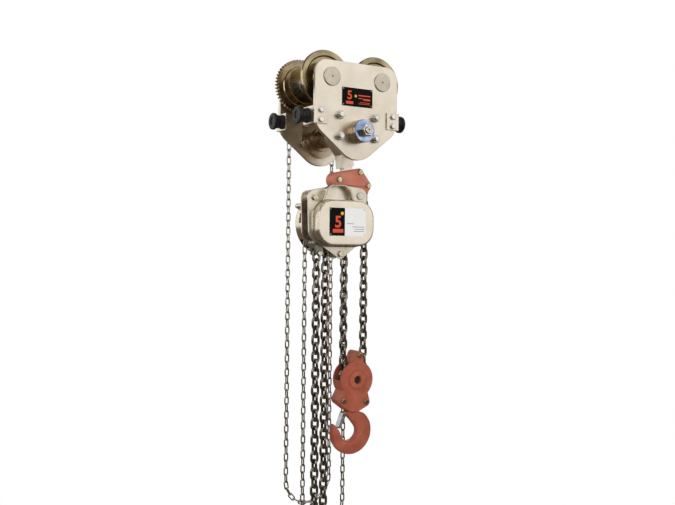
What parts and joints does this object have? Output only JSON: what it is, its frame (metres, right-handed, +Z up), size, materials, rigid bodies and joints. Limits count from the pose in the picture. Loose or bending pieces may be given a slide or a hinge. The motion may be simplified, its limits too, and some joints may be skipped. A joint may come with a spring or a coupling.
{
  "type": "geared beam trolley with chain hoist",
  "caption": "Geared push trolley that runs on a beam's lower flange, with a hand chain hoist, load chains, bottom block and latched hook hung from its load bar.",
  "frame": {"origin": "midway between the wheels along the beam, in the beam's web plane, at the height of the flange surface that the wheels run on", "axes": "+X along the beam, +Y towards the side with the trolley's hand wheel, +Z up"},
  "size_m": [0.392, 0.4025, 1.6185],
  "materials": {
    "side_plate": "satin nickel plate",
    "gusset": "satin nickel plate",
    "wheel": "yellow zinc plate, polished",
    "axle": "ground",
    "fastener": "bright zinc",
    "blue_washer": "blue zinc",
    "spacer": "yellow zinc, dull",
    "load_bar": "machined",
    "buffer": "matte",
    "bracket": "satin nickel plate",
    "trolley_placard": "printed film",
    "rivet": "bright",
    "drive_housing": "machined",
    "bush": "machined",
    "hand_wheel": "pressed, yellow zinc",
    "chain_guide": "bent rod",
    "hand_chain": "bright nickel",
    "load_chain": "dark nickel",
    "link": "satin nickel plate",
    "yoke": "satin enamel",
    "hoist_frame": "satin nickel plate",
    "hoist_cover": "satin nickel plate",
    "hoist_placard": "printed film",
    "hoist_fastener": "olive chromate",
    "pin": "ground",
    "dark_pin": "blackened",
    "gear_steel": "hardened",
    "sheave": "machined",
    "bearing": "ground",
    "friction": "moulded",
    "anchor": "forged",
    "block": "satin enamel",
    "hook": "satin enamel",
    "latch": "galvanised sheet"
  },
  "bodies": {
    "trolley": {"front_side_plate": "side_plate", "rear_side_plate": "side_plate", "front_gusset_plate": "gusset", "rear_gusset_plate": "gusset", "wheel_axles": "axle", "wheel_bearings": "bearing", "blue_washers": "blue_washer", "trolley_fasteners": "fastener", "load_bar": "load_bar", "load_bar_spacers": "spacer", "bumper_brackets": "bracket", "bumpers": "buffer", "trolley_nameplate": "trolley_placard", "trolley_nameplate_rivets": "rivet", "drive_bearing_housing": "drive_housing", "drive_bushes": "bush", "trolley_chain_guide": "chain_guide", "trolley_hand_chain": "hand_chain"},
    "front_left_wheel_body": {"front_left_wheel": "wheel"},
    "front_right_wheel_body": {"front_right_wheel": "wheel"},
    "rear_left_wheel_body": {"rear_left_wheel": "wheel"},
    "rear_right_wheel_body": {"rear_right_wheel": "wheel"},
    "trolley_drive": {"drive_pinion_shaft": "gear_steel", "trolley_hand_wheel": "hand_wheel"},
    "hoist": {"suspension_link": "link", "yoke_front": "yoke", "yoke_rear": "yoke", "hoist_fasteners": "hoist_fastener", "hoist_pins": "pin", "hoist_frame_front": "hoist_frame", "hoist_frame_rear": "hoist_frame", "frame_stays": "hoist_frame", "gear_cover": "hoist_cover", "hoist_nameplate": "hoist_placard", "hoist_nameplate_rivets": "rivet", "hand_wheel_cover": "hoist_cover", "sheave_bearings": "bearing", "load_chain": "load_chain", "hoist_hand_chain": "hand_chain", "ratchet_disc": "gear_steel", "pawl_stud": "pin", "chain_anchor": "anchor", "block_front": "block", "block_rear": "block", "idler_pin": "dark_pin", "idler_bush": "bush"},
    "hoist_drive": {"hoist_pinion_shaft": "gear_steel", "friction_discs": "friction", "hoist_hand_wheel": "hand_wheel"},
    "left_reduction": {"intermediate_gear_left": "gear_steel"},
    "right_reduction": {"intermediate_gear_right": "gear_steel"},
    "load_drum": {"load_sheave": "sheave", "load_gear": "gear_steel"},
    "pawl_body": {"pawl": "gear_steel"},
    "idler": {"idler_sheave": "sheave"},
    "hook_body": {"hook": "hook", "hook_nut": "pin", "hook_thrust_bearing": "bearing", "latch_pin": "pin"},
    "latch_body": {"latch": "latch"}
  },
  "joints": [
    {"name": "front_left_wheel_spin", "type": "hinge", "parent": "trolley", "child": "front_left_wheel_body", "pos_m": [-0.0932, -0.1, 0.063], "axis": [0, 1, 0], "continuous": true},
    {"name": "front_right_wheel_spin", "type": "hinge", "parent": "trolley", "child": "front_right_wheel_body", "pos_m": [0.0932, -0.1, 0.063], "axis": [0, 1, 0], "continuous": true},
    {"name": "rear_left_wheel_spin", "type": "hinge", "parent": "trolley", "child": "rear_left_wheel_body", "pos_m": [-0.0932, 0.1, 0.063], "axis": [0, 1, 0], "continuous": true},
    {"name": "rear_right_wheel_spin", "type": "hinge", "parent": "trolley", "child": "rear_right_wheel_body", "pos_m": [0.0932, 0.1, 0.063], "axis": [0, 1, 0], "continuous": true},
    {"name": "trolley_drive_spin", "type": "hinge", "parent": "trolley", "child": "trolley_drive", "pos_m": [0, 0.15, 0.01095], "axis": [0, 1, 0], "continuous": true, "deforming": ["trolley_hand_chain"]},
    {"name": "hoist_swing", "type": "hinge", "parent": "trolley", "child": "hoist", "pos_m": [0, 0, -0.103], "axis": [0, 1, 0], "range_deg": [-12, 12]},
    {"name": "hoist_drive_spin", "type": "hinge", "parent": "hoist", "child": "hoist_drive", "pos_m": [-0.004, 0.06, -0.388], "axis": [0, 1, 0], "continuous": true, "deforming": ["hoist_hand_chain"]},
    {"name": "left_reduction_spin", "type": "hinge", "parent": "hoist", "child": "left_reduction", "pos_m": [-0.054, -0.04, -0.388], "axis": [0, 1, 0], "continuous": true},
    {"name": "right_reduction_spin", "type": "hinge", "parent": "hoist", "child": "right_reduction", "pos_m": [0.046, -0.04, -0.388], "axis": [0, 1, 0], "continuous": true},
    {"name": "load_sheave_spin", "type": "hinge", "parent": "hoist", "child": "load_drum", "pos_m": [-0.004, 0, -0.388], "axis": [0, 1, 0], "continuous": true, "deforming": ["load_chain"]},
    {"name": "pawl_lift", "type": "hinge", "parent": "hoist", "child": "pawl_body", "pos_m": [0.0236, 0.042, -0.3263], "axis": [0, 1, 0], "range_deg": [-15, 0], "stiffness_Nm_per_rad": 0.05, "springref_deg": 11.46},
    {"name": "idler_sheave_spin", "type": "hinge", "parent": "hoist", "child": "idler", "pos_m": [0.07011, 0, -0.9], "axis": [0, 1, 0], "continuous": true},
    {"name": "hook_swivel", "type": "hinge", "parent": "hoist", "child": "hook_body", "pos_m": [0.05936, 0, -0.99439], "axis": [0.1132, 0, 0.9936], "continuous": true},
    {"name": "latch_open", "type": "hinge", "parent": "hook_body", "child": "latch_body", "pos_m": [0.03302, 0, -1.01353], "axis": [0, 1, 0], "range_deg": [-40, 0], "stiffness_Nm_per_rad": 0.15, "springref_deg": 17.19}
  ],
  "couplings": [
    {"joint": "rear_left_wheel_spin", "follows": "trolley_drive_spin", "ratio": -0.2449},
    {"joint": "rear_right_wheel_spin", "follows": "trolley_drive_spin", "ratio": -0.2449},
    {"joint": "left_reduction_spin", "follows": "hoist_drive_spin", "ratio": -0.31579},
    {"joint": "right_reduction_spin", "follows": "hoist_drive_spin", "ratio": -0.31579},
    {"joint": "load_sheave_spin", "follows": "hoist_drive_spin", "ratio": 0.13534}
  ]
}
